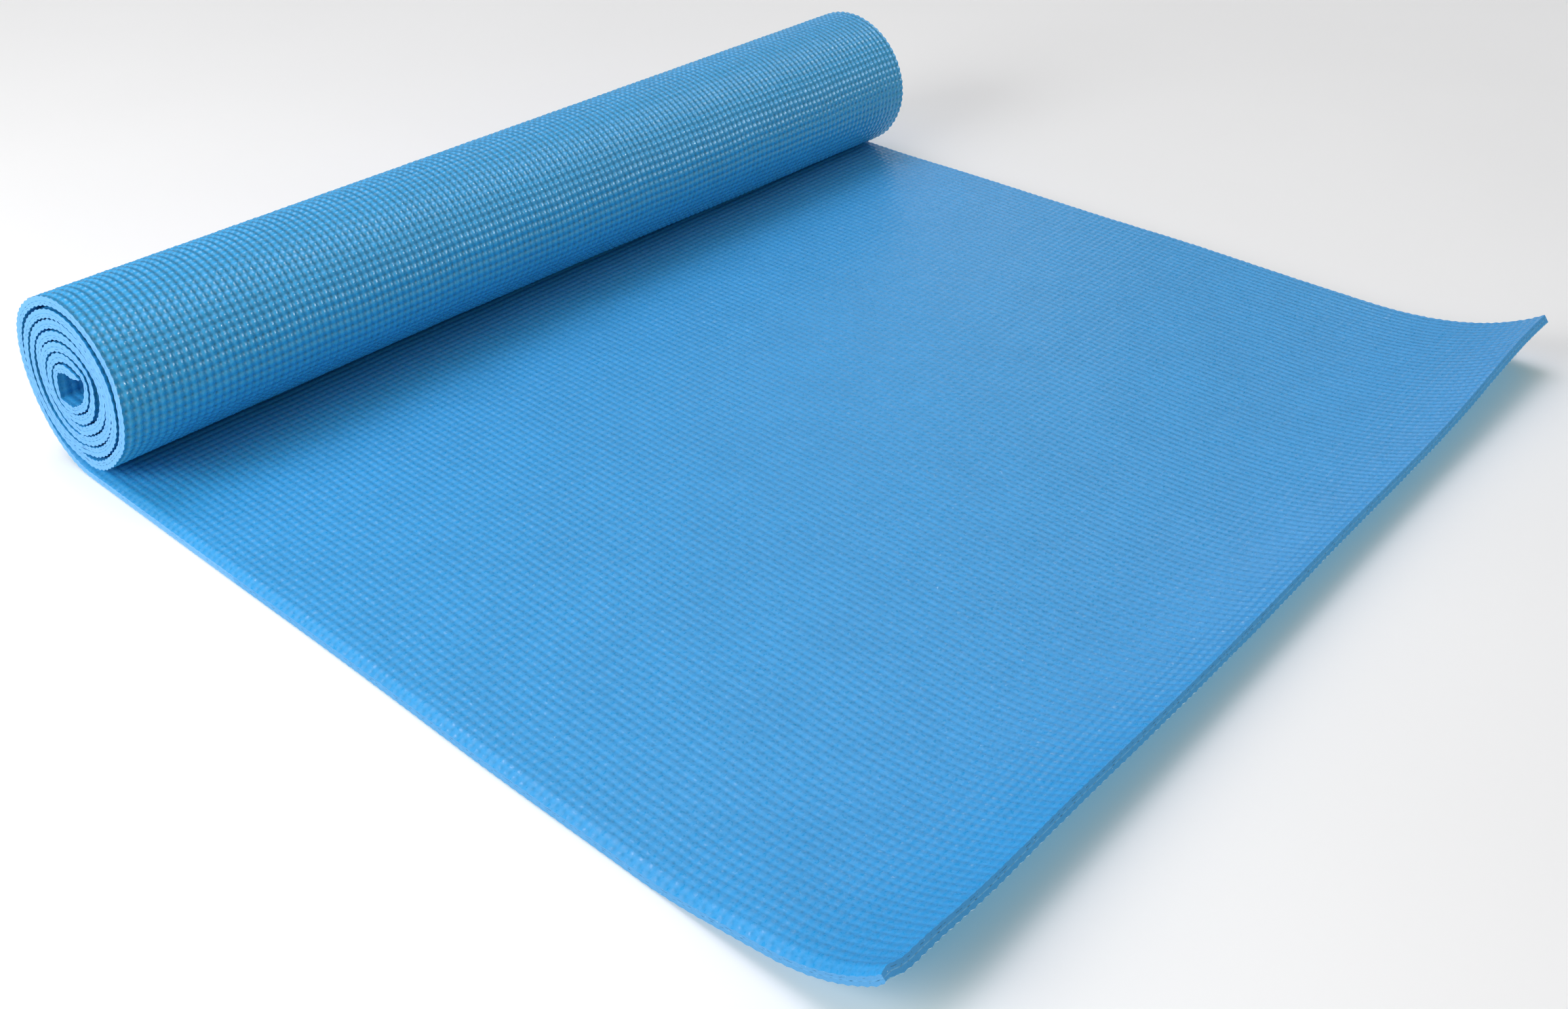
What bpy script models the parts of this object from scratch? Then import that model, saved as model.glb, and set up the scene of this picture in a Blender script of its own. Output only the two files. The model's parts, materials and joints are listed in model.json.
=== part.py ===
"""Exercise mat of foamed PVC on a woven yarn scrim, partly rolled up.

The mat is one laminated sheet: a top foam layer, an open-weave yarn scrim and a
bottom foam layer. A flat panel lies on the floor with its free end curled up a
little, and the rest of the sheet is wound into a roll that stands on the back
end of the panel.

A flexible sheet bends everywhere. Here it bends at fine round-nosed knuckles
across its width: each strip ends in a half-round nose, centred on the middle of
the sheet's thickness, and the next strip starts with a matching hollow.

Frame: X across the mat (along the roll), Y along its length with the roll at
+Y, Z up. The origin is the bottom centre of the whole object. Units: metres.
"""

import math

import bpy

# ---------------------------------------------------------------- dimensions
WIDTH = 0.610  # across the mat, which is also the length of the roll
FOAM = 0.0022  # each foam layer
SCRIM = 0.0004  # yarn scrim between them
GAP = 0.0003  # clearance between neighbouring pieces
SHEET = 2 * FOAM + SCRIM + 2 * GAP  # 5.4 mm through the laminate

ROLL_HEIGHT = 0.1004  # floor to the top of the roll
PITCH = 0.0060  # from one turn of the roll to the next
TURNS = 6.62  # turns in the roll
STEP_FROM, STEP_TO = 0.72, 0.96  # the share of a turn in which it steps inwards

STRIP_ANGLE = math.radians(36)  # each strip of the outer turns, ten to a turn
STRIPS = 14  # strips that unroll, outside the core that stays wound

FLAT_LENGTH = 0.5120  # from under the roll to the free end
CURL_LENGTH = 0.1173  # the part of it that curls up
CURL_ANGLE = math.radians(20.4)  # slope of the sheet at its free end
CURL_STRIPS = 4

HALF = SHEET / 2
SOCKET = HALF + GAP
START_RADIUS = (ROLL_HEIGHT - SHEET) / 2
CENTRE_Z = ROLL_HEIGHT / 2
END_THETA = 2 * math.pi * TURNS

# Offsets of each layer from the middle of the sheet, positive towards its
# underside, which is the outer side of the roll.
LAYERS = (
    ("bottom_foam", HALF - FOAM, HALF),
    ("scrim", -SCRIM / 2, SCRIM / 2),
    ("top_foam", -HALF, FOAM - HALF),
)


# ------------------------------------------------------------------- outlines
# An outline is a list of (y, z) points in the plane of the mat's cut edge.
def mid_radius(theta):
    """Radius of the middle of the sheet, theta round the winding.

    Each turn is round until it has to climb over the start of the turn outside
    it, low on the side of the flat panel. There it steps in by one pitch.
    """
    turn = math.floor(theta / (2 * math.pi) + 1e-9)
    share = theta / (2 * math.pi) - turn
    t = max(0.0, min(1.0, (share - STEP_FROM) / (STEP_TO - STEP_FROM)))
    return START_RADIUS - PITCH * (turn + t * t * (3 - 2 * t))


def on_spiral(theta, h=0.0):
    """A point of the winding, theta round from where the roll meets the floor."""
    r = mid_radius(theta) + h
    return r * math.sin(theta), CENTRE_Z - r * math.cos(theta)


def arc(centre, radius, first, last, steps):
    return [
        (
            centre[0] + radius * math.cos(first + (last - first) * i / steps),
            centre[1] + radius * math.sin(first + (last - first) * i / steps),
        )
        for i in range(steps + 1)
    ]


def bearing(centre, point):
    return math.atan2(point[1] - centre[1], point[0] - centre[0])


def near_turn(angle, reference):
    """The angle, a whole number of turns away, that is nearest the reference."""
    return angle + 2 * math.pi * round((reference - angle) / (2 * math.pi))


def nose(hinge, heading, h_low, h_high):
    """Round the convex end of a layer, from its outer face to its inner one.

    heading is the direction of the sheet at the hinge. The outer side lies to
    the right of it.
    """
    first = heading - math.asin(max(-1.0, min(1.0, h_high / HALF)))
    last = heading - math.asin(max(-1.0, min(1.0, h_low / HALF)))
    return arc(hinge, HALF, first, last, 6)


def hollow(hinge, heading, inner_point, outer_point):
    """Round the concave start of a layer, from its inner face to its outer one."""
    first = near_turn(bearing(hinge, inner_point), heading)
    last = near_turn(bearing(hinge, outer_point), heading)
    return arc(hinge, SOCKET, first, last, 6)


def leaves_socket(face, hinge, start, stop, h):
    """The parameter at which a face of the layer comes clear of the socket."""
    low, high = start, stop
    for _ in range(60):
        middle = (low + high) / 2
        y, z = face(middle, h)
        if math.hypot(y - hinge[0], z - hinge[1]) < SOCKET:
            low = middle
        else:
            high = middle
    return high


def layer_outline(face, start, stop, steps, h_low, h_high, hinge_in, hinge_out):
    """One layer of one strip.

    face(t, h) is a point of the strip at t along it and h off its middle.
    hinge_in and hinge_out are (point, heading) or None at a cut end.
    """
    begin = {
        h: leaves_socket(face, hinge_in[0], start, stop, h) if hinge_in else start
        for h in (h_low, h_high)
    }

    def along(h, first, last):
        return [face(first + (last - first) * i / steps, h) for i in range(steps + 1)]

    points = along(h_high, begin[h_high], stop)
    if hinge_out:
        points += nose(*hinge_out, h_low, h_high)
    points += along(h_low, stop, begin[h_low])
    if hinge_in:
        points += hollow(*hinge_in, points[-1], points[0])
    return tidy(points)


def tidy(points):
    """The outline without points that repeat the one before."""
    kept = []
    for point in points:
        if not kept or math.dist(point, kept[-1]) > 2e-5:
            kept.append(point)
    while math.dist(kept[0], kept[-1]) < 2e-5:
        kept.pop()
    return kept


def straight(origin, heading):
    """A face function for a flat strip from origin along heading."""
    c, s = math.cos(heading), math.sin(heading)
    return lambda t, h: (origin[0] + c * t + s * h, origin[1] + s * t - c * h)


# --------------------------------------------------------------------- layout
# The curled end: points on an arc, joined by flat strips. It runs towards -Y,
# so its headings are near pi and its underside is on the left of them.
CURL_START = FLAT_LENGTH - CURL_LENGTH
CURL_RADIUS = CURL_LENGTH / CURL_ANGLE


def on_curl(i):
    a = CURL_ANGLE * i / CURL_STRIPS
    return (
        -CURL_START - CURL_RADIUS * math.sin(a),
        HALF + CURL_RADIUS * (1 - math.cos(a)),
    )


def build_outlines():
    """[(body, hinge, parent body, {layer: outline})], the root first."""
    roll_hinges = [on_spiral(i * STRIP_ANGLE) for i in range(STRIPS + 1)]
    curl_points = [on_curl(i) for i in range(CURL_STRIPS + 1)]
    bodies = []

    # Flat panel, with a nose at both ends.
    layers = {}
    for layer, low, high in LAYERS:
        right = nose((0.0, HALF), 0.0, low, high)
        left = nose(curl_points[0], math.pi, -high, -low)
        layers[layer] = tidy(right + left)
    bodies.append(("flat_panel", None, None, layers))

    # Curled end.
    parent = "flat_panel"
    for i in range(CURL_STRIPS):
        a, b = curl_points[i], curl_points[i + 1]
        heading = bearing(a, b) % (2 * math.pi)
        face = straight(a, heading)
        end = None if i == CURL_STRIPS - 1 else (b, heading)
        name = f"curl_strip_{i + 1}"
        # The underside lies on the left here, so the offsets change sign.
        layers = {
            layer: layer_outline(
                face, 0.0, math.dist(a, b), 1, -high, -low, (a, heading), end
            )
            for layer, low, high in LAYERS
        }
        bodies.append((name, a, parent, layers))
        parent = name

    # Outer turns of the roll.
    parent = "flat_panel"
    for i in range(STRIPS):
        first, last = i * STRIP_ANGLE, (i + 1) * STRIP_ANGLE
        name = f"wrap_strip_{i + 1:02d}"
        layers = {
            layer: layer_outline(
                on_spiral,
                first,
                last,
                5,
                low,
                high,
                (roll_hinges[i], first),
                (roll_hinges[i + 1], last),
            )
            for layer, low, high in LAYERS
        }
        bodies.append((name, roll_hinges[i], parent, layers))
        parent = name

    # Inner turns, which stay wound.
    first = STRIPS * STRIP_ANGLE
    steps = round((END_THETA - first) / math.radians(15))
    layers = {
        layer: layer_outline(
            on_spiral,
            first,
            END_THETA,
            steps,
            low,
            high,
            (roll_hinges[STRIPS], first),
            None,
        )
        for layer, low, high in LAYERS
    }
    bodies.append(("wound_core", roll_hinges[STRIPS], parent, layers))
    return bodies


# ------------------------------------------------------------------ the scene
def clear_scene():
    for obj in list(bpy.data.objects):
        bpy.data.objects.remove(obj, do_unlink=True)


def make_material(name, colour, roughness):
    material = bpy.data.materials.new(name)
    material.use_nodes = True
    shader = material.node_tree.nodes["Principled BSDF"]
    shader.inputs["Base Color"].default_value = (*colour, 1.0)
    shader.inputs["Roughness"].default_value = roughness
    shader.inputs["Metallic"].default_value = 0.0
    material.diffuse_color = (*colour, 1.0)
    return material


def extruded(name, outline, pivot, material, parent, collection):
    """A flat outline extruded across the mat's width, placed on its pivot."""
    curve = bpy.data.curves.new(name, "CURVE")
    curve.dimensions = "2D"
    curve.fill_mode = "BOTH"
    curve.extrude = WIDTH / 2
    spline = curve.splines.new("POLY")
    spline.points.add(len(outline) - 1)
    for point, (y, z) in zip(spline.points, outline):
        point.co = (y - pivot[0], z - pivot[1], 0.0, 1.0)
    spline.use_cyclic_u = True
    curve.materials.append(material)
    obj = bpy.data.objects.new(name, curve)
    # The curve's own x and y are the mat's Y and Z, and its extrusion is X.
    obj.rotation_euler = (math.pi / 2, 0.0, math.pi / 2)
    obj.parent = parent
    collection.objects.link(obj)
    return obj


def main():
    clear_scene()
    collection = bpy.data.collections.new("yoga_mat")
    bpy.context.scene.collection.children.link(collection)

    materials = {
        "top_foam": make_material("top_foam", (0.085, 0.36, 0.76), 0.55),
        "bottom_foam": make_material("bottom_foam", (0.075, 0.33, 0.72), 0.45),
        "scrim": make_material("scrim", (0.02, 0.09, 0.30), 0.80),
    }

    bodies = build_outlines()
    everything = [p for _, _, _, layers in bodies for o in layers.values() for p in o]
    middle_y = (min(y for y, _ in everything) + max(y for y, _ in everything)) / 2
    floor_z = min(z for _, z in everything)

    pivots, places = {}, {}
    for body, hinge, parent, layers in bodies:
        y, z = hinge if hinge else (0.0, 0.0)
        pivot = bpy.data.objects.new(f"pivot_{body}", None)
        pivot.empty_display_size = 0.01
        collection.objects.link(pivot)
        if parent:
            pivot.parent = pivots[parent]
            py, pz = places[parent]
            pivot.location = (0.0, y - py, z - pz)
        else:
            pivot.location = (0.0, -middle_y, -floor_z)
        pivots[body], places[body] = pivot, (y, z)
        for layer, outline in layers.items():
            extruded(
                f"{body}_{layer}", outline, (y, z), materials[layer], pivot, collection
            )


main()
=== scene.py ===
"""Looks of the exercise mat: one embossed foam sheet, flat in front, lifted at its
free end and wound into a roll at the back.

The sheet has three layers: an embossed top foam, a yarn scrim and an embossed
bottom foam. Each layer is divided across the width into pieces that meet in the
valleys of the embossing.

Lengths in the sheet's own coordinates are millimetres: x across the width from
the roll's left end, s along the length, 0 where the roll meets the floor,
negative on the flat part and positive in the roll.
"""

import json
import math

import bpy
import numpy as np
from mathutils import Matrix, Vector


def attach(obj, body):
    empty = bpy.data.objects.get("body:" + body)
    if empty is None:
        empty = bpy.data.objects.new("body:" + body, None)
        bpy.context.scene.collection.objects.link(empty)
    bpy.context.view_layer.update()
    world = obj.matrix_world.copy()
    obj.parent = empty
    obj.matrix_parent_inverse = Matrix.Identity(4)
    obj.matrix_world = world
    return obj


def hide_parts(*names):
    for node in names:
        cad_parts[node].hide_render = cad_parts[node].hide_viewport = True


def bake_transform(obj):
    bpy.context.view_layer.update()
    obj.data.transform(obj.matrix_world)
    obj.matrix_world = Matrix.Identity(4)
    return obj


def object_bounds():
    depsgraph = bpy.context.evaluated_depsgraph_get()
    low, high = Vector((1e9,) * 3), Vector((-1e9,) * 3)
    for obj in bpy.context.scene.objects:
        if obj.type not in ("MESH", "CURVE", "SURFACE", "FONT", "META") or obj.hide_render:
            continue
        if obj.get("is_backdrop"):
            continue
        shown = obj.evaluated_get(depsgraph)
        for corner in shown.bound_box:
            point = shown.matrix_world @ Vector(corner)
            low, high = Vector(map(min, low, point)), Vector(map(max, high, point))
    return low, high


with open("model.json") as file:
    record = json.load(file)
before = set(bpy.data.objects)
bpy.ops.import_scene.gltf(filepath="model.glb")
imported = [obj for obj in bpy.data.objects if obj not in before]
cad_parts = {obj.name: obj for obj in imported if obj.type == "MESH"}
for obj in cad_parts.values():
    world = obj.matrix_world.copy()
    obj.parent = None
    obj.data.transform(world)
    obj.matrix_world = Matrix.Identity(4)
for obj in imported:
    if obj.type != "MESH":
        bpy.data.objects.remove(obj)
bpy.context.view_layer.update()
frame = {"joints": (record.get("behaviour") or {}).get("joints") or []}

JOINT = {j["name"]: j for j in frame["joints"]}
ROOT_Y = JOINT["unroll_01"]["pos_m"][1] * 1000  # where the roll meets the floor

# ---------------------------------------------------------------- measures, mm
WIDTH = 610.0
RIBS = 142  # lengthwise ribs across the width
RIB = WIDTH / RIBS
ROW = 4.5  # one row of bumps along the length, at mid-thickness
CENTRE_Z = 50.2
FLAT = 512.0  # from under the roll to the free end
CURL = 117.3  # the part of it that is lifted
CURL_FROM = FLAT - CURL
THICK = 6.1

# Winding: degrees round from the floor, outer radius, thickness. The outer turn
# is round and steps inwards low at the front, and each turn inside follows it.
WINDING = (
    (0, 50.2, 6.1), (30, 50.2, 5.8), (60, 50.2, 5.6), (120, 50.2, 5.5),
    (180, 50.2, 5.55), (240, 50.2, 5.65), (255, 50.2, 5.65), (268, 50.1, 5.65),
    (280, 48.9, 5.6), (290, 46.9, 5.6), (300, 44.4, 5.6), (311, 42.9, 5.6),
    (326, 42.0, 5.6), (343, 41.9, 5.6),
    (360, 42.0, 5.6), (390, 43.2, 5.4), (420, 44.2, 5.2), (450, 44.4, 5.0),
    (480, 44.2, 5.0), (510, 44.2, 5.3), (540, 44.2, 5.5), (570, 44.3, 5.5),
    (600, 44.3, 5.5), (618, 44.2, 5.5), (630, 43.6, 5.5), (640, 42.0, 5.6),
    (650, 39.9, 5.6), (660, 38.0, 5.6), (675, 36.2, 5.7), (690, 35.3, 5.8),
    (705, 35.2, 5.8),
    (720, 35.9, 5.8), (750, 37.4, 5.2), (780, 38.8, 4.4), (810, 39.2, 4.4),
    (840, 39.0, 4.9), (870, 38.6, 5.2), (900, 38.4, 5.5), (930, 38.5, 5.5),
    (960, 38.5, 5.5), (978, 38.2, 5.5), (990, 37.4, 5.5), (1000, 35.9, 5.5),
    (1010, 33.8, 5.5), (1020, 31.9, 5.5), (1035, 29.9, 5.6), (1050, 29.0, 5.6),
    (1065, 29.0, 5.6),
    (1080, 29.4, 5.5), (1110, 31.2, 5.0), (1140, 32.6, 4.7), (1170, 32.8, 4.6),
    (1200, 32.9, 5.0), (1230, 32.8, 5.2), (1260, 32.5, 5.5), (1290, 32.6, 5.5),
    (1320, 32.6, 5.6), (1338, 32.4, 5.6), (1350, 31.5, 6.0), (1360, 29.7, 5.9),
    (1370, 27.7, 5.8), (1380, 25.9, 5.7), (1395, 23.9, 5.6), (1410, 23.0, 5.4),
    (1425, 23.2, 5.3),
    (1440, 24.0, 5.5), (1470, 26.0, 5.0), (1500, 27.2, 4.0), (1530, 27.9, 4.5),
    (1560, 27.7, 5.1), (1590, 27.3, 5.5), (1620, 26.6, 5.8), (1650, 26.9, 5.3),
    (1665, 27.0, 4.4), (1675, 26.5, 4.5), (1688, 25.1, 5.0), (1698, 24.1, 5.2),
    (1710, 23.1, 5.6), (1725, 21.2, 5.7), (1740, 19.3, 5.8), (1755, 17.9, 5.8),
    (1770, 17.3, 5.7), (1785, 17.6, 5.7),
    (1800, 18.3, 5.6), (1830, 20.8, 5.1), (1860, 23.0, 4.2), (1890, 22.9, 4.7),
    (1920, 22.2, 5.1), (1950, 21.5, 5.5), (1980, 20.6, 5.2), (2010, 21.3, 5.0),
    (2025, 22.3, 4.2), (2035, 21.7, 4.5), (2048, 19.7, 5.4), (2058, 18.4, 5.6),
    (2070, 16.8, 5.4), (2085, 14.5, 5.2), (2100, 12.8, 5.0), (2115, 11.6, 4.7),
    (2130, 11.2, 4.4), (2145, 11.5, 4.4),
    (2160, 12.4, 4.5), (2190, 15.5, 6.0), (2205, 17.1, 5.6), (2218, 18.4, 3.4),
    (2235, 18.4, 4.6), (2250, 18.0, 4.5), (2265, 17.6, 4.3), (2280, 16.9, 4.1),
    (2295, 16.3, 5.0), (2310, 15.7, 5.5), (2325, 15.3, 5.6), (2340, 15.1, 5.7),
    (2355, 15.3, 5.7), (2365, 15.7, 5.2), (2375, 16.5, 4.0), (2381, 17.1, 2.8),
    (2385, 17.5, 1.6),
)  # fmt: skip

# Towards its right end the roll stays round for longer before it steps in.
# Degrees, millimetres further out than at the left end.
LOOSER = (
    (255, 0.0), (268, 0.1), (280, 1.1), (290, 2.6), (300, 4.8), (311, 6.1),
    (319, 6.4), (326, 6.2), (335, 5.2), (345, 3.8), (360, 2.0), (390, 0.9),
    (420, 0.0),
)  # fmt: skip
LOOSER_ACROSS = ((0, 0.0), (205, 0.02), (250, 0.11), (302, 0.18), (484, 0.72), (540, 0.8), (610, 1.0))

# Slopes at the free end at fifths of the width, apart from what its corners add.
MIDDLE_SLOPES = np.polyfit(np.linspace(0, 1, 6), (0.10, 0.587, 0.49, 0.431, 0.154, 0.381), 5)

# The turns don't end in one plane: how far each is pushed in at the left end.
PUSHED_IN = (2.7, 1.7, 2.5, 2.4, 1.4, 1.2, 0.5)


# ------------------------------------------------------------- curve functions
def smooth_table(rows, column):
    """A curve through the table's points without overshoot (monotone cubic)."""
    xs = np.array([r[0] for r in rows], float)
    ys = np.array([r[column] for r in rows], float)
    h = np.diff(xs)
    d = np.diff(ys) / h
    m = np.zeros_like(ys)
    same = d[:-1] * d[1:] > 0
    w1, w2 = 2 * h[1:] + h[:-1], h[1:] + 2 * h[:-1]
    inner = np.zeros(len(d) - 1)
    inner[same] = (w1 + w2)[same] / (w1[same] / d[:-1][same] + w2[same] / d[1:][same])
    m[1:-1] = inner
    m[0], m[-1] = d[0], d[-1]

    def curve(x):
        x = np.clip(x, xs[0], xs[-1])
        i = np.clip(np.searchsorted(xs, x, side="right") - 1, 0, len(h) - 1)
        t = (x - xs[i]) / h[i]
        return (
            ys[i] * (2 * t**3 - 3 * t**2 + 1)
            + h[i] * m[i] * (t**3 - 2 * t**2 + t)
            + ys[i + 1] * (3 * t**2 - 2 * t**3)
            + h[i] * m[i + 1] * (t**3 - t**2)
        )

    return curve


outer_radius_left = smooth_table(WINDING, 1)
thickness_at = smooth_table(WINDING, 2)
looser = smooth_table(LOOSER, 1)
looser_across = smooth_table(LOOSER_ACROSS, 1)
END_DEG = WINDING[-1][0]


def outer_radius(deg, x):
    r = outer_radius_left(deg)
    share = looser_across(x)
    for turn in range(5):
        d = deg - 360 * turn
        r = r + share * 0.72**turn * np.where((d > 255) & (d < 420), looser(d), 0.0)
    return r


_deg = np.linspace(0, END_DEG, 8 * int(END_DEG) + 1)
_mid = outer_radius_left(_deg) - thickness_at(_deg) / 2
_y, _z = _mid * np.sin(np.radians(_deg)), -_mid * np.cos(np.radians(_deg))
_len = np.concatenate([[0.0], np.cumsum(np.hypot(np.diff(_y), np.diff(_z)))])
WOUND = float(_len[-1])  # length of the sheet in the roll


def deg_at(s):
    return np.interp(s, _len, _deg)


def s_at(deg):
    return float(np.interp(deg, _deg, _len))


def pushed_in(deg, x):
    """How far the edge is pushed in at the left end of the roll."""
    turn = np.clip(deg / 360, 0, 6.999)
    low = np.floor(turn).astype(int)
    depth = np.array(PUSHED_IN)[low]
    d = deg - 360 * low
    rise = np.clip((d - 125) / 55, 0, 1)
    fall = np.clip((283 - d) / 48, 0, 1)
    bump = (rise * rise * (3 - 2 * rise)) * (fall * fall * (3 - 2 * fall))
    edge = 0.35 * np.sin(np.radians(d) * 2 + low * 1.7) * np.clip(deg / 120, 0, 1)
    return (depth * bump + edge + 0.3 * np.clip(deg / 90, 0, 1)) * np.clip(1 - x / 420, 0, 1)


def slope(x, along):
    """Slope of the lifted end, which bends more and more towards the cut.

    The left corner turns up sharply, the right one less so.
    """
    c = x / WIDTH
    middle = np.polyval(MIDDLE_SLOPES, c) * (along / CURL) ** 2.18
    rise = np.clip(along / 45, 0, 1)
    left = 0.174 * rise * (2 - rise) + 0.50 * np.clip((along - 61) / 55, 0, None)
    right = 0.684 * (along / 121) ** 1.81
    near_left = np.exp(-((x / 54.7) ** 2))
    near_right = np.exp(-(((WIDTH - x) / 191.0) ** 2))
    tip = 0.115 * np.exp(-((x / 7.0) ** 2)) * np.clip((along - 65) / 55, 0, 1)
    return middle * (1 - near_left - near_right) + left * near_left + right * near_right + tip


def side_pinch(x, s):
    """The left side of the flat part is pressed down a little by the blade."""
    edge = np.clip(1 - x / 6.0, 0, 1)
    return 1.9 * edge**2 * np.clip(1 - s / 60, 0, 1)


def side_bend(x, s):
    """The sides of the flat part aren't quite straight."""
    left = 0.6 * np.exp(-(((s + 315) / 50) ** 2)) - 0.3 * np.exp(-(((s + 200) / 60) ** 2))
    right = 1.7 * np.exp(-(((s + 290) / 50) ** 2)) - 1.8 * np.exp(-(((s + 55) / 45) ** 2)) * (s < 0)
    c = x / WIDTH
    return np.where(s < 0, right * c**2 - left * (1 - c) ** 2, 0.0)


def end_cut(x):
    """The free end isn't cut quite square: millimetres longer at the corners."""
    return 4.98 * np.exp(-((x / 25.7) ** 2)) + 4.7 * np.clip((x / WIDTH - 0.55) / 0.45, 0, 1) ** 2


def place(x, s, share, out):
    """Points of the sheet in the row frame, in metres.

    share runs through the thickness, 0 on the underside and 1 on the top face.
    out moves a point off the sheet, positive out of the underside.
    """
    x, s, share, out = np.broadcast_arrays(*(np.asarray(v, float) for v in (x, s, share, out)))
    # In the roll.
    deg = deg_at(np.maximum(s, 0))
    r = outer_radius(deg, x) - share * (thickness_at(deg) - side_pinch(x, s)) + out
    r = r + 0.6 * np.exp(-x / 90) * np.clip(1 - np.abs(deg - 160) / 90, 0, 1)
    a = np.radians(deg)
    y_roll, z_roll = r * np.sin(a), CENTRE_Z - r * np.cos(a)
    # Flat and lifted. The cut end is pinched a little from below.
    along = np.maximum(-s - CURL_FROM, 0)
    pinch = np.clip((along - CURL + 5) / 5, 0, 1) ** 2
    h = share * THICK - THICK / 2 - out + (1 - share) * 1.2 * pinch - share * side_pinch(x, s)
    stretch = 1 + end_cut(x) / CURL
    y_mid, z_mid = -CURL_FROM * np.ones_like(x), THICK / 2 * np.ones_like(x)
    for k in range(24 if along.max() > 0 else 0):
        b = slope(x, along * (k + 0.5) / 24)
        y_mid -= np.cos(b) * along * stretch / 24
        z_mid += np.sin(b) * along * stretch / 24
    b = slope(x, along)
    y_flat = np.where(along > 0, y_mid + h * np.sin(b), s)
    z_flat = z_mid + h * np.cos(b)
    wound = s > 0
    y = np.where(wound, y_roll, y_flat)
    z = np.where(wound, z_roll, z_flat)
    x = x + np.where(wound, pushed_in(deg, x), side_bend(x, s))
    return np.stack([(x - WIDTH / 2) / 1000, (y + ROOT_Y) / 1000, z / 1000], -1)


# -------------------------------------------------------------------- embossing
def cell_noise(i, j, seed):
    """A fixed number from 0 to 1 for each cell of the weave."""
    n = np.sin(i * 127.1 + j * 311.7 + seed * 74.7) * 43758.5453
    return n - np.floor(n)


def wander(x, s):
    """The weave isn't perfectly straight: shifts of a few hundredths of a cell."""
    du = 0.05 * np.sin(s / 23.0 + x / 61.0) + 0.035 * np.sin(s / 9.1 - x / 37.0 + 1.3)
    dq = 0.06 * np.sin(x / 19.0 + s / 83.0) + 0.04 * np.sin(x / 7.7 - s / 29.0 + 0.7)
    return du, dq


def cushion(phase, power):
    """0 in a valley, at whole numbers, and 1 between two of them."""
    return np.maximum(0.5 - 0.5 * np.cos(2 * math.pi * phase), 0) ** power


def weave_under(x, s):
    """Counts of ribs and rows at a point of the underside."""
    du, dq = wander(x, s)
    return x / RIB + 0.5 + du, s / ROW + dq


def weave_top(x, s):
    du, dq = wander(x + 40, s - 15)
    return x / RIB + 0.5 + du, s / ROW + dq


def relief_under(x, s):
    """Square pillows in columns, with deeper valleys between the columns."""
    u, q = weave_under(x, s)
    across, along = cushion(u, 0.55), cushion(q, 0.55)
    rise = cell_noise(np.floor(u), np.floor(q), 1.0) - 0.5
    deep = cell_noise(np.round(u), np.round(q), 2.0)
    at_cut = np.exp(-((np.minimum(x, WIDTH - x) / 1.5) ** 2))
    return (
        -0.55 * (1 - across)
        - (0.42 + np.where(s < 0, 0.05, 0.38) * at_cut) * (1 - along)
        - (0.05 + 0.20 * deep) * (1 - across) * (1 - along)
        + 0.20 * rise * across * along
    )


def relief_top(x, s):
    """Soft lengthwise ribs, beaded along their length."""
    u, q = weave_top(x, s)
    across, along = cushion(u, 0.85), cushion(q, 0.8)
    rib = np.floor(u)
    uneven = np.cos(2 * math.pi * (q * 1.5 + cell_noise(rib, 0, 3.0)))
    rise = cell_noise(rib, np.floor(q), 5.0) - 0.5
    dip = cell_noise(rib, np.round(q), 6.0)
    at_cut = np.exp(-((np.minimum(x, WIDTH - x) / 1.5) ** 2))
    return (
        -0.25 * (1 - across)
        - (0.17 + 0.20 * dip + np.where(s < 0, 0.12, 0.42) * at_cut) * (1 - along) * (0.6 + 0.4 * across)
        + (0.05 * uneven + 0.16 * rise) * across * along
    )


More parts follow.
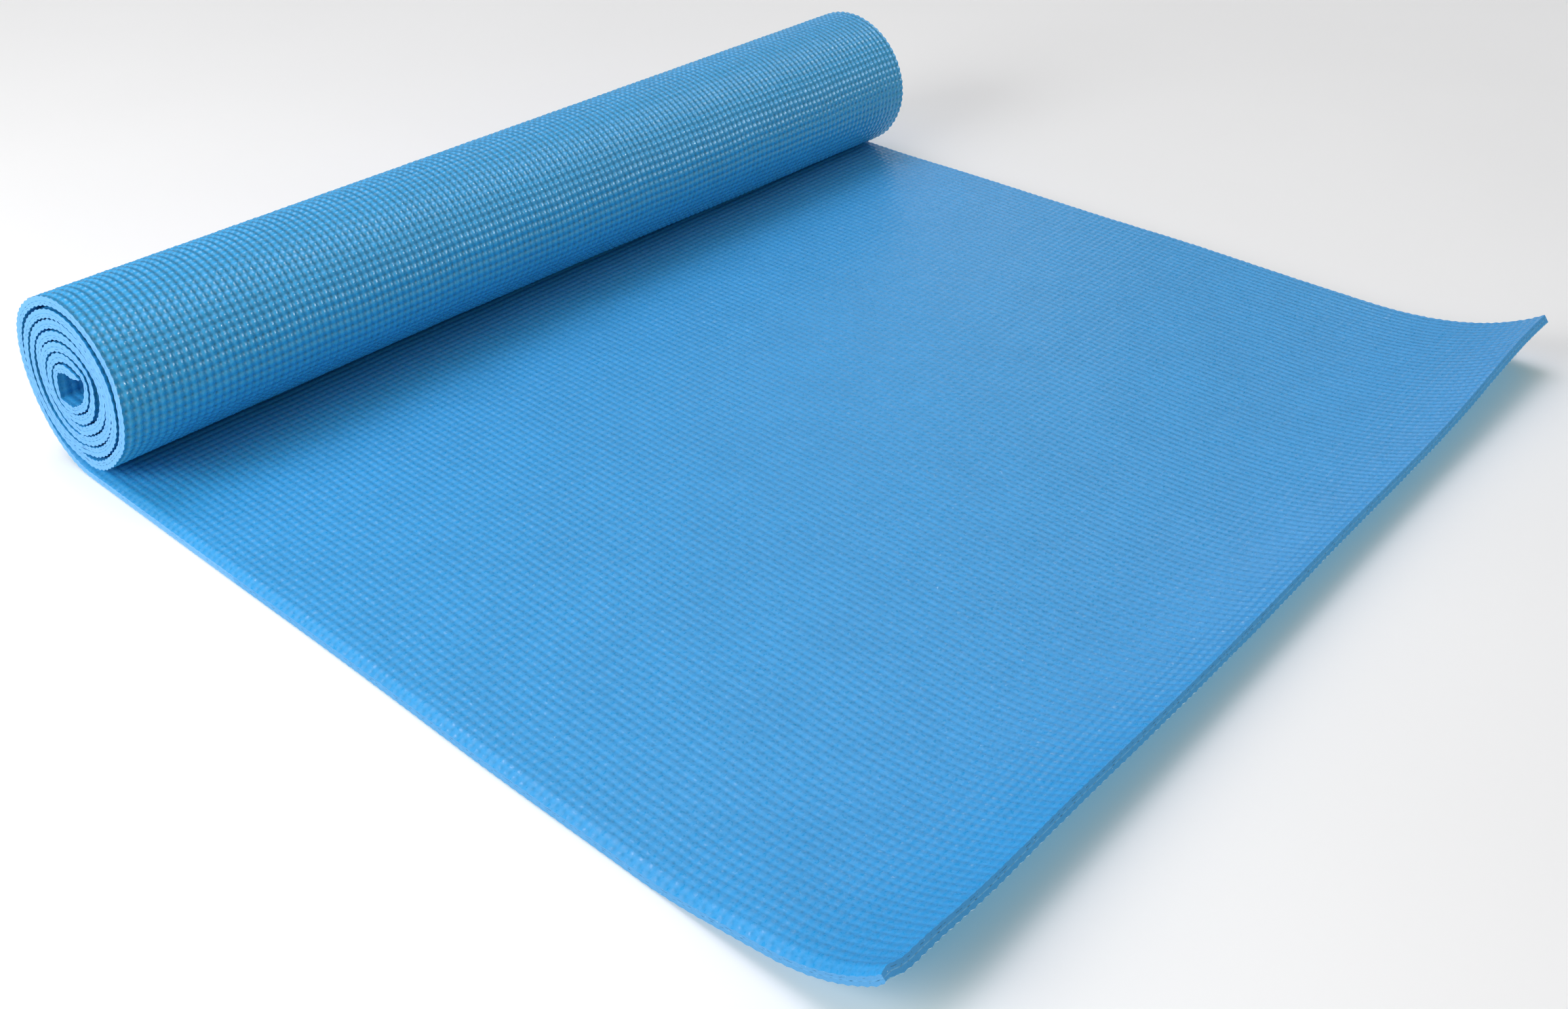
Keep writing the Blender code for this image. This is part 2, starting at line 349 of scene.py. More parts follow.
# ------------------------------------------------------------------ mesh making
class Sheet:
    """One closed piece of one layer, built from a grid on each of its faces."""

    def __init__(self):
        self.co, self.count = [], 0
        self.faces = []  # (corners (n, k), uv (n, k, 2), material, smooth)

    def add(self, points):
        flat = points.reshape(-1, 3)
        index = np.arange(self.count, self.count + len(flat)).reshape(points.shape[:-1])
        self.co.append(flat)
        self.count += len(flat)
        return index

    def grid(self, index, uv, material, smooth, flip):
        corners = np.stack([index[:-1, :-1], index[1:, :-1], index[1:, 1:], index[:-1, 1:]], -1).reshape(-1, 4)
        uvs = np.stack([uv[:-1, :-1], uv[1:, :-1], uv[1:, 1:], uv[:-1, 1:]], -2).reshape(-1, 4, 2)
        if flip:
            corners, uvs = corners[:, ::-1], uvs[:, ::-1]
        self.faces.append((corners, uvs, material, smooth))

    def wall(self, fine, coarse, steps, along, up_fine, up_coarse, fine_on_top, flip, material=1):
        """Joins a fine row of points to a coarse one that has a subset of its steps."""
        tris, uvs = [], []

        def f(t):
            return fine[t], (along[t], up_fine[t])

        def c(j):
            return coarse[j], (along[steps[j]], up_coarse[j])

        for j in range(len(steps) - 1):
            a, b = steps[j], steps[j + 1]
            mid = (a + b) // 2
            made = [(f(t), f(t + 1), c(j) if t < mid else c(j + 1)) for t in range(a, b)]
            if fine_on_top:
                made = [(q, p, r) for p, q, r in made]
                made.append((c(j), c(j + 1), f(mid)))
            else:
                made.append((c(j + 1), c(j), f(mid)))
            for tri in made:
                if flip:
                    tri = tri[::-1]
                tris.append([p[0] for p in tri])
                uvs.append([p[1] for p in tri])
        self.faces.append((np.array(tris), np.array(uvs, float), material, False))

    def build(self, name, materials):
        mesh = bpy.data.meshes.new(name)
        co = np.concatenate(self.co)
        mesh.vertices.add(len(co))
        mesh.vertices.foreach_set("co", co.astype(np.float32).ravel())
        corners = np.concatenate([f[0].ravel() for f in self.faces])
        sizes = np.concatenate([np.full(len(f[0]), f[0].shape[1]) for f in self.faces])
        mesh.loops.add(len(corners))
        mesh.loops.foreach_set("vertex_index", corners.astype(np.int32))
        mesh.polygons.add(len(sizes))
        starts = np.concatenate([[0], np.cumsum(sizes)[:-1]])
        mesh.polygons.foreach_set("loop_start", starts.astype(np.int32))
        mesh.update(calc_edges=True)
        mesh.polygons.foreach_set(
            "material_index", np.concatenate([np.full(len(f[0]), f[2]) for f in self.faces]).astype(np.int32)
        )
        smooth = np.concatenate([np.full(len(f[0]), f[3]) for f in self.faces])
        mesh.polygons.foreach_set("use_smooth", smooth)
        # The faces' borders are creases.
        edge_of = np.empty(len(corners), np.int32)
        mesh.loops.foreach_get("edge_index", edge_of)
        crease = np.zeros(len(mesh.edges), bool)
        crease[edge_of[~np.repeat(smooth, sizes)]] = True
        mesh.edges.foreach_set("use_edge_sharp", crease)
        uv = mesh.uv_layers.new(name="UVMap")
        uv.data.foreach_set("uv", np.concatenate([f[1].ravel() for f in self.faces]).astype(np.float32))
        for m in materials:
            mesh.materials.append(m)
        mesh.update()
        obj = bpy.data.objects.new(name, mesh)
        bpy.context.scene.collection.objects.link(obj)
        return obj


def thin_out(n, step):
    kept = list(range(0, n, step))
    if kept[-1] != n - 1:
        if n - 1 - kept[-1] < step / 2 and len(kept) > 1:
            kept.pop()
        kept.append(n - 1)
    return kept


LAYERS = {"bottom_foam": (0.0, 0.46), "scrim": (0.46, 0.54), "top_foam": (0.54, 1.0)}


def strip(name, layer, xs, ss, materials, tongue=1.1, keep_relief=None, coarse=(4, 4)):
    """One piece of one layer over the grid xs by ss (millimetres)."""
    low, high = LAYERS[layer]
    sheet = Sheet()
    if layer != "scrim":
        # The bottom of the valley at a seam is level, like that of the others.
        ss = np.concatenate([[ss[0], ss[0] + 0.14], ss[1:-1], [ss[-1] - 0.14, ss[-1]]])
    level = ss.copy()
    level[:2], level[-2:] = ss[0], ss[-1]
    n_s = len(ss)
    drop = np.zeros(n_s)
    if tongue:
        # A lip that lies just under the next piece's face and fills the seam
        # when the sheet straightens.
        last = ss[-1]
        ss = np.concatenate([ss, [last + 0.03, last + tongue]])
        level = np.concatenate([level, ss[-2:]])
        drop = np.concatenate([drop, [0.14, 0.14]])
    x, s = np.meshgrid(xs, ss, indexing="ij")
    flat_x, flat_s = np.meshgrid(xs, level, indexing="ij")
    fade = np.ones_like(x) if keep_relief is None else keep_relief(x, s)
    sx, sq = thin_out(len(xs), coarse[0]), thin_out(n_s, coarse[1])
    if tongue:
        sq = sq + [len(ss) - 1]
    xc, sc = np.meshgrid(xs[sx], ss[sq], indexing="ij")
    uvc = np.stack([xc, sc], -1) / 1000
    inner = high if layer == "bottom_foam" else low
    share = np.full_like(xc, inner)
    if tongue:
        x[:, n_s:] = np.clip(x[:, n_s:], 0.5, WIDTH - 0.5)
        xc[:, -1] = np.clip(xc[:, -1], 0.5, WIDTH - 0.5)
        share[:, -1] = 0.22 if layer == "bottom_foam" else 0.78

    if layer == "bottom_foam":
        out = relief_under(flat_x, flat_s) * fade - 0.35 * (1 - fade) - drop
        u, q = weave_under(x, s)
        uv = np.stack([u * RIB, q * ROW], -1) / 1000
        fine = sheet.add(place(x, s, 0.0, out))
        back = sheet.add(place(xc, sc, share, 0.0))
        fine_top = False
    elif layer == "top_foam":
        out = -(relief_top(flat_x, flat_s) * fade - 0.25 * (1 - fade)) + drop
        u, q = weave_top(x, s)
        uv = np.stack([u * RIB, q * ROW], -1) / 1000
        fine = sheet.add(place(x, s, 1.0, out))
        back = sheet.add(place(xc, sc, share, 0.0))
        fine_top = True
    else:
        fine = sheet.add(place(xc, sc, high, 0.0))
        back = sheet.add(place(xc, sc, low, 0.0))
        fine_top, uv = True, uvc
        sx, sq, n_s = list(range(len(sx))), list(range(len(sq))), len(sq)
        xs, ss = xc[:, 0], sc[0]

    faces = n_s - 1
    sheet.grid(fine[:, : faces + 1], uv[:, : faces + 1], 0, True, not fine_top)
    if tongue and layer != "scrim":
        sheet.grid(fine[:, faces:], uv[:, faces:], 0, False, not fine_top)
    sheet.grid(back, uvc, 1, False, fine_top)

    mm = 1000.0
    up_f, up_b = (high, low) if fine_top else (low, high)
    for i, flip in ((0, True), (-1, False)):
        sheet.wall(
            fine[i], back[i], sq, ss / mm,
            np.full(len(ss), up_f * 6 / mm), np.full(len(sq), up_b * 6 / mm), fine_top, flip,
        )  # fmt: skip
    for j, flip in ((0, False), (-1, True)):
        sheet.wall(
            fine[:, j], back[:, j], sx, xs / mm,
            np.full(len(xs), up_f * 6 / mm), np.full(len(sx), up_b * 6 / mm), fine_top, flip, 2,
        )  # fmt: skip
    return sheet.build(name, materials)


# -------------------------------------------------------------------- materials
def new_material(name):
    material = bpy.data.materials.new(name)
    material.use_nodes = True
    tree = material.node_tree
    return material, tree.nodes, tree.links, tree.nodes["Principled BSDF"]


def math_node(nodes, links, kind, a, b=None, c=None):
    node = nodes.new("ShaderNodeMath")
    node.operation = kind
    for socket, value in zip(node.inputs, (a, b, c)):
        if value is None:
            continue
        if isinstance(value, (int, float)):
            socket.default_value = value
        else:
            links.new(value, socket)
    return node.outputs[0]


def uv_parts(nodes, links):
    uv = nodes.new("ShaderNodeUVMap")
    uv.uv_map = "UVMap"
    parts = nodes.new("ShaderNodeSeparateXYZ")
    links.new(uv.outputs[0], parts.inputs[0])
    return uv.outputs[0], parts.outputs[0], parts.outputs[1]


def noise(nodes, links, vector, scale, detail=2.0, rough=0.5, stretch=None):
    if stretch:
        mapping = nodes.new("ShaderNodeMapping")
        mapping.inputs["Scale"].default_value = stretch
        links.new(vector, mapping.inputs[0])
        vector = mapping.outputs[0]
    node = nodes.new("ShaderNodeTexNoise")
    node.noise_dimensions = "3D"
    node.inputs["Scale"].default_value = scale
    node.inputs["Detail"].default_value = detail
    node.inputs["Roughness"].default_value = rough
    links.new(vector, node.inputs["Vector"])
    return node.outputs[0]


def ramp(nodes, links, value, low, high, to_low=0.0, to_high=1.0):
    node = nodes.new("ShaderNodeMapRange")
    node.clamp = True
    links.new(value, node.inputs[0])
    for i, v in zip((1, 2, 3, 4), (low, high, to_low, to_high)):
        node.inputs[i].default_value = v
    return node.outputs[0]


def mix(nodes, links, factor, a, b):
    node = nodes.new("ShaderNodeMix")
    node.data_type = "RGBA"
    if isinstance(factor, (int, float)):
        node.inputs[0].default_value = factor
    else:
        links.new(factor, node.inputs[0])
    for socket, value in ((node.inputs[6], a), (node.inputs[7], b)):
        if isinstance(value, tuple):
            socket.default_value = (*value, 1.0)
        else:
            links.new(value, socket)
    return node.outputs[2]


def valley(nodes, links, coordinate, pitch, shift, power):
    """1 in the valleys at every pitch, 0 between them."""
    phase = math_node(nodes, links, "MULTIPLY_ADD", coordinate, 2 * math.pi / pitch, shift)
    wave = math_node(nodes, links, "COSINE", phase)
    lifted = math_node(nodes, links, "MULTIPLY_ADD", wave, 0.5, 0.5)
    return math_node(nodes, links, "POWER", lifted, power)


def embossed(name, light, deep, roughness, top):
    """Skin of the foam: satin bumps and matt valleys, with painted shade that darkens the valleys and pits."""
    material, nodes, links, shader = new_material(name)
    uv, u, v = uv_parts(nodes, links)
    between_ribs = valley(nodes, links, u, RIB / 1000, 0.0, 3.0)
    between_rows = valley(nodes, links, v, ROW / 1000, 0.0, 4.0)
    pit = math_node(nodes, links, "MULTIPLY", between_ribs, between_rows)
    cloud = noise(nodes, links, uv, 28.0, 3.0, 0.55)
    patch = noise(nodes, links, uv, 150.0, 2.0, 0.5)
    grain = noise(nodes, links, uv, 1500.0, 3.0, 0.6)
    streak = noise(nodes, links, uv, 420.0, 2.0, 0.5, stretch=(1.0, 0.35, 1.0))

    # Painted shade: the valleys between ribs and rows, and most of all the pits, are mixed towards the darker colour
    # deep, more or less along random streaks.
    valley_shade = math_node(nodes, links, "MULTIPLY", between_ribs, 0.03 if top else 0.15)
    valley_shade = math_node(nodes, links, "MULTIPLY_ADD", between_rows, 0.05 if top else 0.10, valley_shade)
    valley_shade = math_node(nodes, links, "MULTIPLY_ADD", pit, 0.14 if top else 0.32, valley_shade)
    uneven = ramp(nodes, links, streak, 0.35, 0.65, 0.4, 1.45)
    valley_shade = math_node(nodes, links, "MULTIPLY", valley_shade, uneven)
    colour = mix(nodes, links, ramp(nodes, links, cloud, 0.35, 0.65, 0.0, 0.5), light, tuple(c * 0.90 for c in light))
    colour = mix(nodes, links, ramp(nodes, links, patch, 0.45, 0.75, 0.0, 0.35), colour, tuple(min(1, c * 1.06 + 0.012) for c in light))
    colour = mix(nodes, links, valley_shade, colour, deep)
    links.new(colour, shader.inputs["Base Color"])

    # Small smooth spots on the shoulders of the bumps catch the light.
    spots = noise(nodes, links, uv, 620.0, 1.0, 0.4)
    shiny = ramp(nodes, links, spots, 0.53, 0.61, 0.0, 1.0)
    rough = ramp(nodes, links, grain, 0.3, 0.7, roughness - 0.06, roughness + 0.10)
    rough = math_node(nodes, links, "MULTIPLY_ADD", shiny, -0.30 if top else -0.16, rough)
    rough = math_node(nodes, links, "MAXIMUM", rough, 0.11)
    rough = math_node(nodes, links, "MULTIPLY_ADD", between_ribs, 0.30, rough)
    rough = math_node(nodes, links, "MULTIPLY_ADD", between_rows, 0.30, rough)
    links.new(rough, shader.inputs["Roughness"])
    shader.inputs["Specular IOR Level"].default_value = 0.5
    shader.inputs["IOR"].default_value = 1.5

    if top:
        shader.inputs["Coat Weight"].default_value = 0.12
        shader.inputs["Coat Roughness"].default_value = 0.13
        shader.inputs["Coat IOR"].default_value = 1.5

    round_ribs = valley(nodes, links, u, RIB / 1000, 0.0, 1.0)
    round_rows = valley(nodes, links, v, ROW / 1000, 0.0, 1.0)
    height = math_node(nodes, links, "MULTIPLY", pit, -0.30)
    height = math_node(nodes, links, "MULTIPLY_ADD", between_ribs, -0.08 if top else -0.22, height)
    height = math_node(nodes, links, "MULTIPLY_ADD", between_rows, -0.10 if top else -0.18, height)
    height = math_node(nodes, links, "MULTIPLY_ADD", round_ribs, -0.18 if top else -0.70, height)
    height = math_node(nodes, links, "MULTIPLY_ADD", round_rows, -0.26 if top else -0.60, height)
    height = math_node(nodes, links, "MULTIPLY_ADD", grain, 0.08, height)
    height = math_node(nodes, links, "MULTIPLY_ADD", streak, 0.6 if top else 0.85, height)
    bump = nodes.new("ShaderNodeBump")
    bump.inputs["Strength"].default_value = 0.9
    bump.inputs["Distance"].default_value = 0.00045
    links.new(height, bump.inputs["Height"])
    links.new(bump.outputs[0], shader.inputs["Normal"])
    return material


def cut_foam(name, light, shade, yarn_line):
    """Cut foam at the edges: matt and fine-celled, with small specks."""
    material, nodes, links, shader = new_material(name)
    uv, u, v = uv_parts(nodes, links)
    cells = noise(nodes, links, uv, 2600.0, 3.0, 0.65)
    cloud = noise(nodes, links, uv, 120.0, 3.0, 0.55)
    specks = noise(nodes, links, uv, 900.0, 1.0, 0.4)
    colour = mix(nodes, links, ramp(nodes, links, cloud, 0.35, 0.7, 0.0, 0.45), light, shade)
    colour = mix(nodes, links, ramp(nodes, links, specks, 0.70, 0.76, 0.0, 0.6), colour, (0.02, 0.13, 0.28))
    colour = mix(nodes, links, ramp(nodes, links, specks, 0.28, 0.22, 0.0, 0.6), colour, (0.62, 0.85, 0.97))
    if yarn_line:
        # Ends of yarn show as a row of dark dashes.
        away = math_node(nodes, links, "ABSOLUTE", math_node(nodes, links, "ADD", v, -yarn_line))
        line = ramp(nodes, links, away, 0.00012, 0.00028, 1.0, 0.0)
        broken = noise(nodes, links, uv, 260.0, 2.0, 0.5, stretch=(1.0, 0.05, 1.0))
        dash = math_node(nodes, links, "MULTIPLY", line, ramp(nodes, links, broken, 0.50, 0.56, 0.0, 0.75))
        colour = mix(nodes, links, dash, colour, (0.015, 0.12, 0.30))
    links.new(colour, shader.inputs["Base Color"])
    links.new(ramp(nodes, links, cells, 0.3, 0.7, 0.62, 0.85), shader.inputs["Roughness"])
    shader.inputs["Specular IOR Level"].default_value = 0.3
    bump = nodes.new("ShaderNodeBump")
    bump.inputs["Strength"].default_value = 0.5
    bump.inputs["Distance"].default_value = 0.00025
    links.new(cells, bump.inputs["Height"])
    links.new(bump.outputs[0], shader.inputs["Normal"])
    return material


def yarn(name, dark, foam, cut_end):
    """Scrim: dark yarns with foam between them."""
    material, nodes, links, shader = new_material(name)
    uv, u, v = uv_parts(nodes, links)
    along_edge = u
    dash = valley(nodes, links, along_edge, ROW / 1000, 0.4, 1.6)
    broken = noise(nodes, links, uv, 330.0, 2.0, 0.5)
    amount = math_node(nodes, links, "MULTIPLY", dash, ramp(nodes, links, broken, 0.42, 0.60, 0.0, 1.0))
    if not cut_end:
        rows = valley(nodes, links, v, ROW / 1000, 0.0, 1.6)
        ribs = valley(nodes, links, u, RIB / 1000, 0.0, 1.6)
        amount = math_node(nodes, links, "MAXIMUM", rows, ribs)
    colour = mix(nodes, links, amount, foam, dark)
    links.new(colour, shader.inputs["Base Color"])
    fibres = noise(nodes, links, uv, 4000.0, 2.0, 0.5, stretch=(1.0, 0.2, 1.0))
    links.new(ramp(nodes, links, fibres, 0.3, 0.7, 0.65, 0.9), shader.inputs["Roughness"])
    bump = nodes.new("ShaderNodeBump")
    bump.inputs["Strength"].default_value = 0.4
    bump.inputs["Distance"].default_value = 0.0002
    links.new(fibres, bump.inputs["Height"])
    links.new(bump.outputs[0], shader.inputs["Normal"])
    return material


# The third colour of each skin is the painted shade for its valleys and pits.
SKIN_UNDER = embossed("foam_skin_under", (0.030, 0.345, 0.71), (0.004, 0.125, 0.22), 0.22, top=False)
SKIN_TOP = embossed("foam_skin_top", (0.027, 0.315, 0.69), (0.007, 0.145, 0.34), 0.44, top=True)
CUT_UNDER = cut_foam("foam_cut_under", (0.165, 0.44, 0.85), (0.13, 0.40, 0.81), None)
CUT_TOP = cut_foam("foam_cut_top", (0.17, 0.445, 0.86), (0.135, 0.405, 0.82), 0.0045)
# Darker copies of the cut foam for the flat part's sides: painted shade.
SIDE_SHADE_UNDER = cut_foam("foam_side_shaded_under", (0.10, 0.365, 0.74), (0.075, 0.33, 0.70), None)
SIDE_SHADE_TOP = cut_foam("foam_side_shaded_top", (0.105, 0.37, 0.75), (0.08, 0.335, 0.71), 0.0045)
# Darker copies of the cut foam for the cut ends across the sheet: painted shade for the dimly lit free end.
END_SHADE_UNDER = cut_foam("foam_end_shaded_under", (0.048, 0.315, 0.74), (0.036, 0.285, 0.70), None)
END_SHADE_TOP = cut_foam("foam_end_shaded_top", (0.052, 0.32, 0.75), (0.038, 0.29, 0.71), 0.0045)
NET = yarn("scrim_net", (0.010, 0.055, 0.19), (0.05, 0.32, 0.70), False)
NET_END = yarn("scrim_cut_end", (0.012, 0.12, 0.30), (0.12, 0.41, 0.79), True)
SKINS = {
    "bottom_foam": [SKIN_UNDER, CUT_UNDER, END_SHADE_UNDER],
    "top_foam": [SKIN_TOP, CUT_TOP, END_SHADE_TOP],
    "scrim": [NET, NET_END, NET_END],
}


# ----------------------------------------------------------------------- pieces
def skins_of(layer, s1):
    """The flat part's sides are pressed smooth; their cut faces get darker copies of the cut foam than the roll's, as
    painted shade.
    """
    if layer == "scrim" or s1 > -100:
        return SKINS[layer]
    return [SKINS[layer][0], SIDE_SHADE_UNDER if layer == "bottom_foam" else SIDE_SHADE_TOP, SKINS[layer][2]]


def even_x(per_rib):
    return np.linspace(0, WIDTH, RIBS * per_rib + 1)


def rows(s0, s1, per_row):
    """Steps from s0 to s1, which lie on whole rows or on a cut end."""
    first, last = math.ceil(s0 / ROW * per_row - 1e-6), math.floor(s1 / ROW * per_row + 1e-6)
    inner = np.arange(first, last + 1) * ROW / per_row
    steps = np.concatenate([[s0], inner[(inner > s0 + 0.2) & (inner < s1 - 0.2)], [s1]])
    return steps


def snapped(s):
    return round(s / ROW) * ROW


def layered(base, s0, s1, fine, nodes_of, settle, per_under, per_top, tongue=1.1, xs_under=None, xs_top=None, keep_relief=None):
    """The three layers of one length of the sheet."""
    made = []
    for layer, (per, own) in {
        "bottom_foam": (per_under, xs_under),
        "scrim": (2, None),
        "top_foam": (per_top, xs_top),
    }.items():
        xs = own if own is not None else even_x(per)
        ss = rows(s0, s1, per)
        obj = strip(
            f"{base}_{layer}_skin" if layer != "scrim" else f"{base}_scrim_net",
            layer, xs, ss, skins_of(layer, s1),
            tongue=tongue if layer != "scrim" else 0,
            keep_relief=keep_relief,
            coarse=(per, per) if own is None else (2, per),
        )  # fmt: skip
        settle(obj)
        for body in nodes_of:
            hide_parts(f"{body}_{layer}")
        made.append(obj)
    return made


def riding(body):
    return lambda obj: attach(obj, body)


def blending():
    return lambda obj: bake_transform(obj)


def hinge(name):
    return np.array(JOINT[name]["pos_m"], float)


def unit(v):
    return v / np.linalg.norm(v)


def step_reaches(w):
    """Where the smooth step 3 t^2 - 2 t^3 comes to w."""
    return 0.5 - math.sin(math.asin(1 - 2 * w) / 3)


def share_to_straight(point, h, far, opening):
    """Share of a hinge's opening, at the middle of the strip between the hinges h
    and far, that brings the sheet there onto the straight line through both."""
    way = unit(far - h)
    off = point - h
    above = abs(float(off[1] * way[2] - off[2] * way[1]))
    bulges = (off - (off @ way) * way) @ (h - ROLL_CENTRE) > 0
    share = math.atan2(above, float(off @ way)) / opening if bulges else 0.0
    return float(np.clip(share, 0.05, 0.5))


# Flat panel, in three lengths.
cuts = [-CURL_FROM, snapped(-265.0), snapped(-132.0), 0.0]
for n, (a, b) in enumerate(zip(cuts[:-1], cuts[1:])):
    layered(f"flat_panel_{'abc'[n]}", a, b, True, ["flat_panel"], riding("flat_panel"), 2, 4, tongue=0)

# Lifted free end. Its hinges run from the panel towards -Y.
curl_hinges = [hinge(f"curl_{k}") for k in range(1, 5)]
length = float(np.linalg.norm(curl_hinges[1] - curl_hinges[0]))
mids = [snapped(-CURL_FROM - 1000 * length * (k + 0.5)) for k in range(4)]
ends = [-CURL_FROM] + mids[:3] + [-FLAT]
for k in range(4):
    body = f"curl_strip_{k + 1}"
    h = curl_hinges[k]
    if k == 0:
        start, end = h, h + length * unit(curl_hinges[1] - h)
    else:
        following = curl_hinges[k + 1] if k < 3 else h + (h - curl_hinges[k - 1])
        t = unit(unit(h - curl_hinges[k - 1]) + unit(following - h))
        start, end = h - 1.5 * length * t, h + 1.5 * length * t
    layered(body, ends[k + 1], ends[k], True, [body], blending(), 2, 4, tongue=1.1 if k > 0 else 0)

# Outer turns of the roll, which unroll.
roll_hinges = [hinge(f"unroll_{k:02d}") for k in range(1, 16)]
opening = [math.radians(JOINT[f"unroll_{k:02d}"]["range_deg"][1]) for k in range(1, 16)]
seams = [0.0] + [snapped(s_at(18 + 36 * k)) for k in range(14)] + [snapped(s_at(504))]
ROLL_CENTRE = np.array([0.0, ROOT_Y / 1000, CENTRE_Z / 1000])
seam_points = [place(430.0, s, 0.5, 0.0) * np.array([0, 1, 1]) for s in seams]
for k in range(15):
    body = f"wrap_strip_{k + 1:02d}" if k < 14 else "wound_core"
    h = roll_hinges[k]
    before = h - roll_hinges[k - 1] if k > 0 else roll_hinges[1] - h
    after = roll_hinges[k + 1] - h if k < 14 else before
    t = unit(unit(before) + unit(after))
    start_at, end_at = 0.0, 1.0  # of the step, at the piece's own two ends
    low, high = 0.0, 0.0  # where these ends are, from the hinge
    if k > 0:
        start_at = step_reaches(share_to_straight(seam_points[k], h, roll_hinges[k - 1], opening[k]))
        low = float((seam_points[k] - h) @ t)
    if k < 14:
        end_at = 1 - step_reaches(share_to_straight(seam_points[k + 1], h, roll_hinges[k + 1], opening[k]))
        high = float((seam_points[k + 1] - h) @ t)
    reach = (high - low) / (end_at - start_at)
    start = h + (low - start_at * reach) * t
    end = start + reach * t
    outside = k <= 10
    layered(
        body if k < 14 else "core_start", seams[k], seams[k + 1], outside, [body],
        blending(), 4 if outside else 2, 2,
        tongue=1.9 if 7 <= k <= 12 else 1.1,
    )  # fmt: skip

# Inner turns, which stay wound. Away from the roll's ends only the outermost of
# them can be seen, when the outer turns are unrolled.
near_end = np.linspace(0, 3 * RIB, 13)
middle = np.linspace(3 * RIB, WIDTH - 3 * RIB, 41)[1:-1]
xs_core = np.concatenate([near_end, middle, WIDTH - near_end[::-1]])


def only_at_ends(x, s):
    edge = np.minimum(x, WIDTH - x)
    t = np.clip((3 * RIB - edge) / RIB, 0, 1)
    return t * t * (3 - 2 * t)


core_split = snapped(s_at(870))
layered(
    "core_outside", seams[-1], core_split, True, ["wound_core"], riding("wound_core"), 2, 4,
    tongue=0, xs_top=xs_core,
)  # fmt: skip
layered(
    "core_inside", core_split, WOUND, True, ["wound_core"], riding("wound_core"), 4, 4,
    tongue=0, xs_under=xs_core, xs_top=xs_core, keep_relief=only_at_ends,
)  # fmt: skip

# ------------------------------------------------------------------------ stage
floor_mesh = bpy.data.meshes.new("floor")
size = 6.0
floor_mesh.from_pydata(
    [(-size, -size, -0.0004), (size, -size, -0.0004), (size, size, -0.0004), (-size, size, -0.0004)], [], [(0, 1, 2, 3)]
)
floor = bpy.data.objects.new("floor", floor_mesh)
bpy.context.scene.collection.objects.link(floor)
floor_material, nodes, links, shader = new_material("pale_floor")
position = nodes.new("ShaderNodeTexCoord").outputs["Object"]
tint = mix(nodes, links, ramp(nodes, links, noise(nodes, links, position, 3.0), 0.3, 0.7), (0.93, 0.93, 0.93), (0.95, 0.95, 0.95))
links.new(tint, shader.inputs["Base Color"])
shader.inputs["Roughness"].default_value = 0.9
shader.inputs["Specular IOR Level"].default_value = 0.1
floor_mesh.materials.append(floor_material)
floor.visible_diffuse = False
floor.visible_glossy = False
floor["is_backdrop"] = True

world = bpy.data.worlds.new("studio")
bpy.context.scene.world = world
world.use_nodes = True
nodes, links = world.node_tree.nodes, world.node_tree.links
background = nodes["Background"]
direction = nodes.new("ShaderNodeTexCoord").outputs["Generated"]
parts = nodes.new("ShaderNodeSeparateXYZ")
links.new(direction, parts.inputs[0])
above = ramp(nodes, links, parts.outputs[2], -0.02, 0.05)


def facing(way, power=2.0):
    """1 in one direction, falling to 0 square to it, and sooner with a higher power."""
    dot = nodes.new("ShaderNodeVectorMath")
    dot.operation = "DOT_PRODUCT"
    links.new(direction, dot.inputs[0])
    dot.inputs[1].default_value = way
    share = math_node(nodes, links, "MAXIMUM", dot.outputs["Value"], 0.0)
    return math_node(nodes, links, "MULTIPLY", math_node(nodes, links, "POWER", share, power), above)


# A soft dome: a large light overhead and a little behind, the sky, the front, back and
# right, and what the floor throws back.
TILT = math.radians(20.0)
DOME = (
    (facing((0.0, math.sin(TILT), math.cos(TILT)), 24.0), (5.40, 5.15, 6.10)),
    (facing((0.0, 0.0, 1.0)), (0.42, 0.42, 0.35)),
    (facing((0.0, -1.0, 0.0)), (0.66, 0.80, 0.57)),
    (facing((0.0, 1.0, 0.0)), (0.04, 0.04, 0.04)),
    (facing((1.0, 0.0, 0.0)), (0.10, 0.10, 0.10)),
    (math_node(nodes, links, "SUBTRACT", 1.0, above), (0.84, 0.92, 0.88)),
)
total = None
for share, colour in DOME:
    part = nodes.new("ShaderNodeVectorMath")
    part.operation = "SCALE"
    part.inputs[0].default_value = colour
    links.new(share, part.inputs["Scale"])
    if total is None:
        total = part.outputs[0]
    else:
        add = nodes.new("ShaderNodeVectorMath")
        add.operation = "ADD"
        links.new(total, add.inputs[0])
        links.new(part.outputs[0], add.inputs[1])
        total = add.outputs[0]
links.new(total, background.inputs[0])
background.inputs[1].default_value = 1.0


def soft_light(name, target, azimuth, elevation, distance, size_x, size_y, power, colour=(1, 1, 1)):
    """A soft box. azimuth is measured from +X towards +Y, in degrees."""
    data = bpy.data.lights.new(name, "AREA")
    data.shape = "RECTANGLE"
    data.size, data.size_y = size_x, size_y
    data.energy = power
    data.color = colour
    light = bpy.data.objects.new(name, data)
    a, e = math.radians(azimuth), math.radians(elevation)
    way = np.array([math.cos(e) * math.cos(a), math.cos(e) * math.sin(a), math.sin(e)])
    light.location = np.array(target) + way * distance
    from mathutils import Vector

    light.rotation_mode = "QUATERNION"
    light.rotation_quaternion = Vector(-way).to_track_quat("-Z", "Y")
    bpy.context.scene.collection.objects.link(light)
    return light


soft_light("left_box", (-0.305, 0.2, 0.05), 172, 30, 1.15, 0.9, 0.7, 14.5)
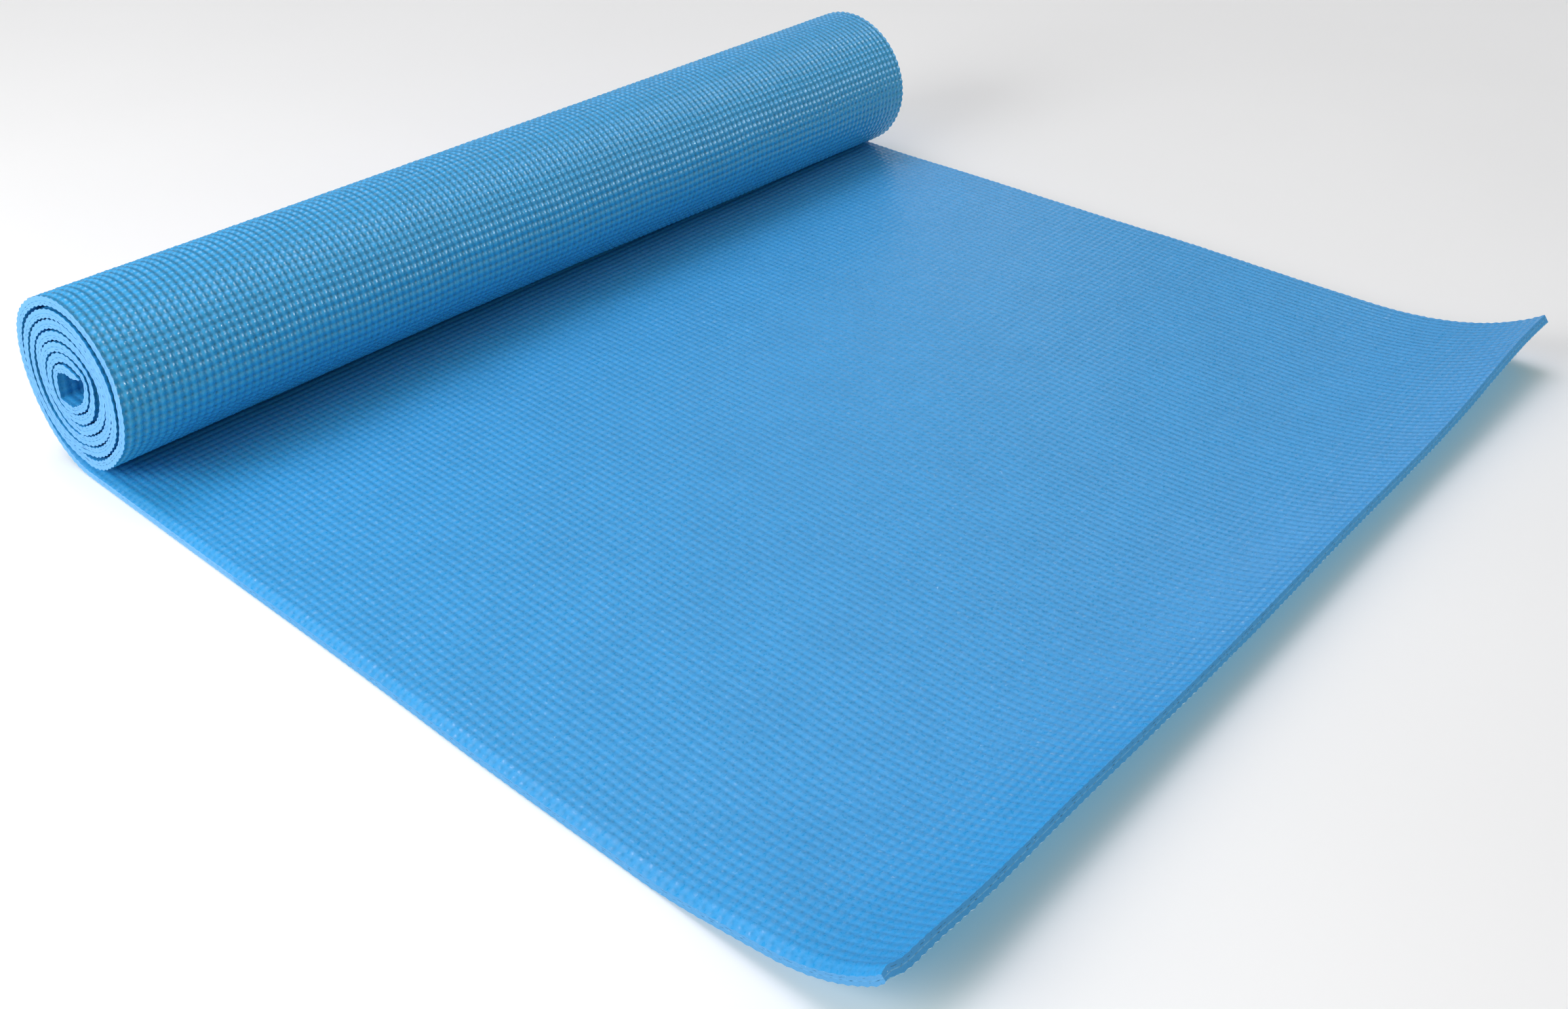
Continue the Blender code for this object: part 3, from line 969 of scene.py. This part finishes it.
# A wide box and small lamps that only show as highlights on the bumps.
front_box = soft_light("front_box", (0.0, 0.2, 0.05), -58, 47, 1.6, 1.7, 0.70, 15.0)
front_box.visible_diffuse = False
# A low box behind to the right, for the sheen on the sheet's right side and the roll's top.
back_box = soft_light("back_box", (0.15, 0.0, 0.0), 36, 21, 2.0, 0.7, 0.4, 2.0)
back_box.visible_diffuse = False
for n, (azimuth, elevation) in enumerate(((-38, 46), (-52, 36), (-62, 46), (-72, 56), (-78, 34))):
    lamp = soft_light(f"front_glint_{n}", (0.0, 0.2, 0.06), azimuth, elevation, 1.8, 0.10, 0.09, 2.2)
    lamp.visible_diffuse = False
for n, (azimuth, elevation) in enumerate(((12, 28), (32, 31), (48, 37), (22, 43), (38, 52), (60, 47))):
    lamp = soft_light(f"back_glint_{n}", (0.0, -0.1, 0.0), azimuth, elevation, 2.0, 0.06, 0.05, 0.4)
    lamp.visible_diffuse = False

# ----------------------------------------------------------------------- camera
FOCAL, FRAME_W = 2453.75, 2392.0
YAW, DOWN, ROLL = -0.85782, 0.50796, 0.00788
forward = np.array([-math.sin(YAW) * math.cos(DOWN), math.cos(YAW) * math.cos(DOWN), -math.sin(DOWN)])
right = np.array([math.cos(YAW), math.sin(YAW), 0.0])
up = np.cross(right, forward)
right, up = right * math.cos(ROLL) + up * math.sin(ROLL), up * math.cos(ROLL) - right * math.sin(ROLL)
data = bpy.data.cameras.new("camera")
data.sensor_fit = "HORIZONTAL"
data.sensor_width = 36.0
data.lens = FOCAL * 36.0 / FRAME_W
data.shift_y = -250.0 / FRAME_W
data.clip_start = 0.01
camera = bpy.data.objects.new("camera", data)
camera.location = (-0.28395 - WIDTH / 2000, -0.71085 + ROOT_Y / 1000, 0.46156)
from mathutils import Matrix

camera.rotation_mode = "QUATERNION"
camera.rotation_quaternion = Matrix(np.stack([right, up, -forward], 1).tolist()).to_quaternion()
bpy.context.scene.collection.objects.link(camera)
bpy.context.scene.camera = camera
bpy.context.scene.view_settings.view_transform = "Standard"
bpy.context.scene.view_settings.look = "None"
bpy.context.scene.view_settings.exposure = 0.0

low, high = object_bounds()
